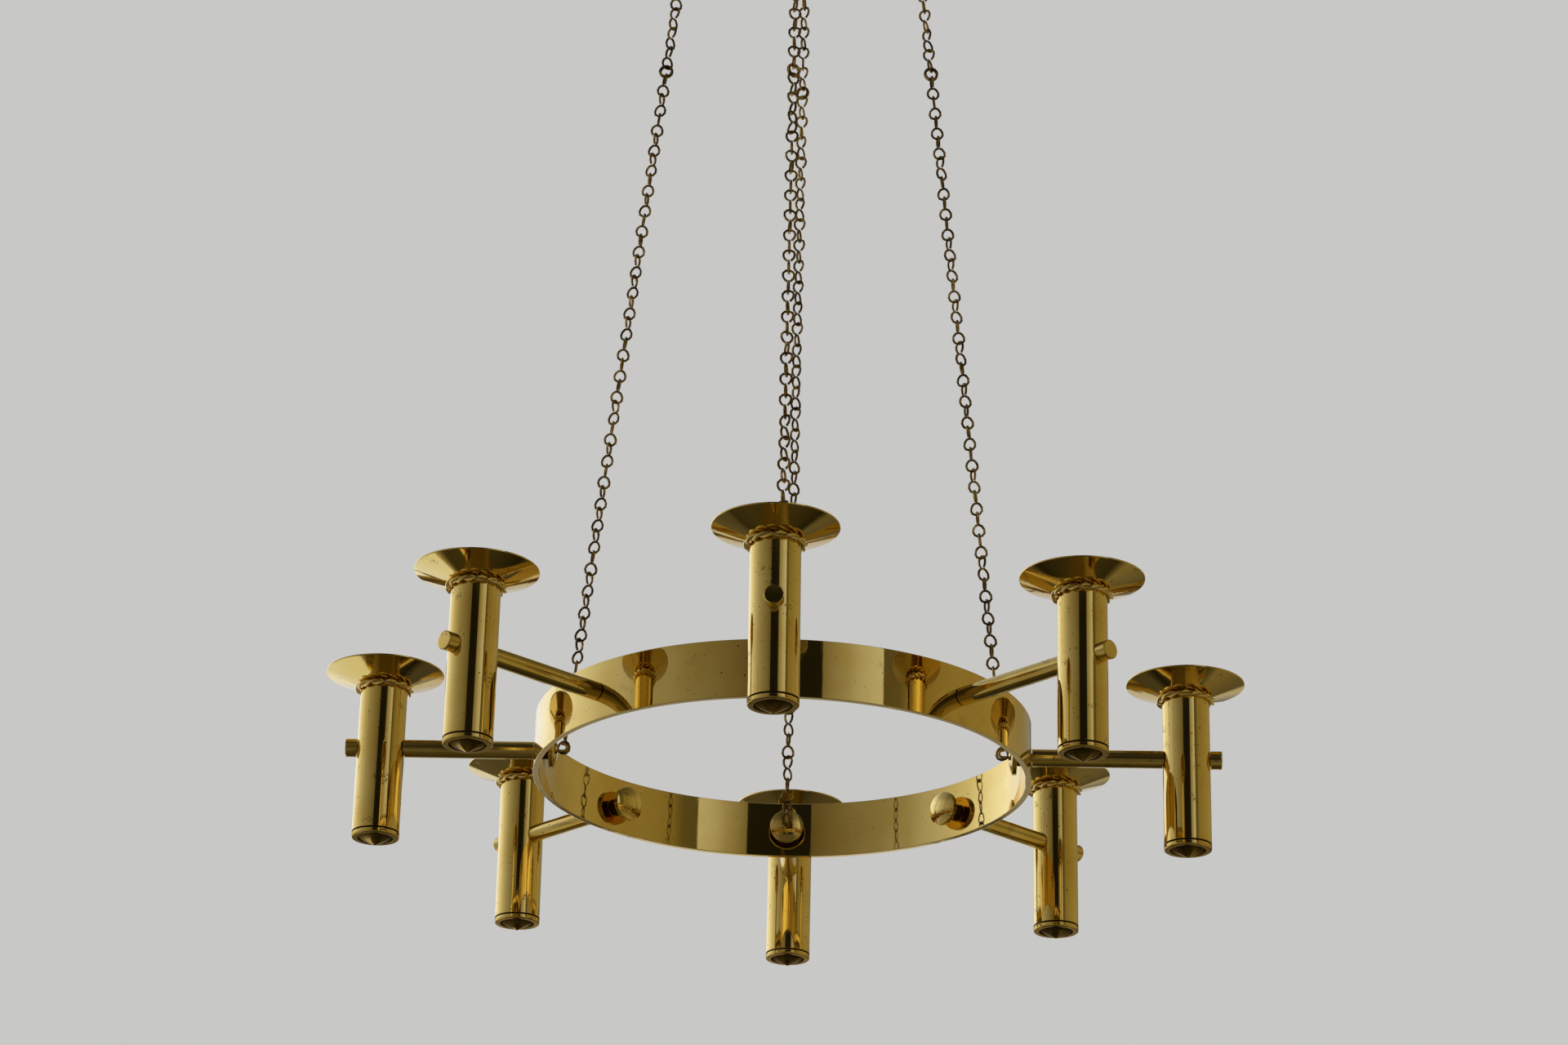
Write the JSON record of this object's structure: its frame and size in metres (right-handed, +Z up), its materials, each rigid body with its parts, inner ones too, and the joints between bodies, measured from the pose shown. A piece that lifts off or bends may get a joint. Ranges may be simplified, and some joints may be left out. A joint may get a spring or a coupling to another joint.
{
  "type": "hanging candelabra",
  "caption": "Ring candelabra hung on chains: candle tubes with drip pans stand on rods round a flat brass band.",
  "frame": {"origin": "middle of the ceiling plate's top face, on the axis that the lamp hangs on", "axes": "+Z up, out of the ceiling face; -Y towards the front holder; +X towards the right holder"},
  "size_m": [0.4876, 0.4876, 1.1681],
  "materials": {
    "band_brass": "polished unlacquered brass, light hand marks",
    "arm_brass": "polished brass rod, tarnish in long streaks",
    "tube_brass": "polished brass tube with small pits and specks",
    "cap_brass": "turned brass, slightly duller than the tube",
    "pan_brass": "spun sheet brass, polished, darker near the neck",
    "nut_brass": "polished domed brass",
    "knob_brass": "turned brass rod",
    "hook_brass": "bright drawn brass wire",
    "chain_bronze": "dark tarnished brass wire",
    "fitting_brass": "satin brass"
  },
  "bodies": {
    "ceiling": {"ceiling_plate": "fitting_brass", "ceiling_hook": "fitting_brass"},
    "suspension": {"suspension_ring": "fitting_brass"},
    "frame": {"chain_front": "chain_bronze", "chain_right": "chain_bronze", "chain_back": "chain_bronze", "chain_left": "chain_bronze", "chain_hook_front": "hook_brass", "chain_hook_right": "hook_brass", "chain_hook_back": "hook_brass", "chain_hook_left": "hook_brass", "ring_band": "band_brass", "arm_1": "arm_brass", "arm_2": "arm_brass", "arm_3": "arm_brass", "arm_4": "arm_brass", "arm_5": "arm_brass", "arm_6": "arm_brass", "arm_7": "arm_brass", "arm_8": "arm_brass", "dome_nut_1": "nut_brass", "dome_nut_2": "nut_brass", "dome_nut_3": "nut_brass", "dome_nut_4": "nut_brass", "dome_nut_5": "nut_brass", "dome_nut_6": "nut_brass", "dome_nut_7": "nut_brass", "dome_nut_8": "nut_brass", "end_knob_1": "knob_brass", "end_knob_2": "knob_brass", "end_knob_3": "knob_brass", "end_knob_4": "knob_brass", "end_knob_5": "knob_brass", "end_knob_6": "knob_brass", "end_knob_7": "knob_brass", "end_knob_8": "knob_brass"},
    "holder_1": {"candle_tube_1": "tube_brass", "base_cap_1": "cap_brass"},
    "pan_1": {"drip_pan_1": "pan_brass"},
    "holder_2": {"candle_tube_2": "tube_brass", "base_cap_2": "cap_brass"},
    "pan_2": {"drip_pan_2": "pan_brass"},
    "holder_3": {"candle_tube_3": "tube_brass", "base_cap_3": "cap_brass"},
    "pan_3": {"drip_pan_3": "pan_brass"},
    "holder_4": {"candle_tube_4": "tube_brass", "base_cap_4": "cap_brass"},
    "pan_4": {"drip_pan_4": "pan_brass"},
    "holder_5": {"candle_tube_5": "tube_brass", "base_cap_5": "cap_brass"},
    "pan_5": {"drip_pan_5": "pan_brass"},
    "holder_6": {"candle_tube_6": "tube_brass", "base_cap_6": "cap_brass"},
    "pan_6": {"drip_pan_6": "pan_brass"},
    "holder_7": {"candle_tube_7": "tube_brass", "base_cap_7": "cap_brass"},
    "pan_7": {"drip_pan_7": "pan_brass"},
    "holder_8": {"candle_tube_8": "tube_brass", "base_cap_8": "cap_brass"},
    "pan_8": {"drip_pan_8": "pan_brass"}
  },
  "joints": [
    {"name": "hook_swing", "type": "hinge", "parent": "ceiling", "child": "suspension", "pos_m": [0, 0, -0.045], "axis": [0, 1, 0], "range_deg": [-15, 15]},
    {"name": "chain_swing", "type": "hinge", "parent": "suspension", "child": "frame", "pos_m": [0, 0, -0.0867], "axis": [1, 0, 0], "range_deg": [-15, 15]},
    {"name": "holder_swivel_1", "type": "hinge", "parent": "frame", "child": "holder_1", "pos_m": [0, -0.2125, -1.1137], "axis": [0, -1, 0], "range_deg": [-12, 12]},
    {"name": "pan_lift_1", "type": "slide", "parent": "holder_1", "child": "pan_1", "axis": [0, 0, 1], "range_m": [0, 0.032]},
    {"name": "holder_swivel_2", "type": "hinge", "parent": "frame", "child": "holder_2", "pos_m": [0.15026, -0.15026, -1.1137], "axis": [0.7071, -0.7071, 0], "range_deg": [-12, 12]},
    {"name": "pan_lift_2", "type": "slide", "parent": "holder_2", "child": "pan_2", "axis": [0, 0, 1], "range_m": [0, 0.032]},
    {"name": "holder_swivel_3", "type": "hinge", "parent": "frame", "child": "holder_3", "pos_m": [0.2125, 0, -1.1137], "axis": [1, 0, 0], "range_deg": [-12, 12]},
    {"name": "pan_lift_3", "type": "slide", "parent": "holder_3", "child": "pan_3", "axis": [0, 0, 1], "range_m": [0, 0.032]},
    {"name": "holder_swivel_4", "type": "hinge", "parent": "frame", "child": "holder_4", "pos_m": [0.15026, 0.15026, -1.1137], "axis": [0.7071, 0.7071, 0], "range_deg": [-12, 12]},
    {"name": "pan_lift_4", "type": "slide", "parent": "holder_4", "child": "pan_4", "axis": [0, 0, 1], "range_m": [0, 0.032]},
    {"name": "holder_swivel_5", "type": "hinge", "parent": "frame", "child": "holder_5", "pos_m": [0, 0.2125, -1.1137], "axis": [0, 1, 0], "range_deg": [-12, 12]},
    {"name": "pan_lift_5", "type": "slide", "parent": "holder_5", "child": "pan_5", "axis": [0, 0, 1], "range_m": [0, 0.032]},
    {"name": "holder_swivel_6", "type": "hinge", "parent": "frame", "child": "holder_6", "pos_m": [-0.15026, 0.15026, -1.1137], "axis": [-0.7071, 0.7071, 0], "range_deg": [-12, 12]},
    {"name": "pan_lift_6", "type": "slide", "parent": "holder_6", "child": "pan_6", "axis": [0, 0, 1], "range_m": [0, 0.032]},
    {"name": "holder_swivel_7", "type": "hinge", "parent": "frame", "child": "holder_7", "pos_m": [-0.2125, 0, -1.1137], "axis": [-1, 0, 0], "range_deg": [-12, 12]},
    {"name": "pan_lift_7", "type": "slide", "parent": "holder_7", "child": "pan_7", "axis": [0, 0, 1], "range_m": [0, 0.032]},
    {"name": "holder_swivel_8", "type": "hinge", "parent": "frame", "child": "holder_8", "pos_m": [-0.15026, -0.15026, -1.1137], "axis": [-0.7071, -0.7071, 0], "range_deg": [-12, 12]},
    {"name": "pan_lift_8", "type": "slide", "parent": "holder_8", "child": "pan_8", "axis": [0, 0, 1], "range_m": [0, 0.032]}
  ]
}
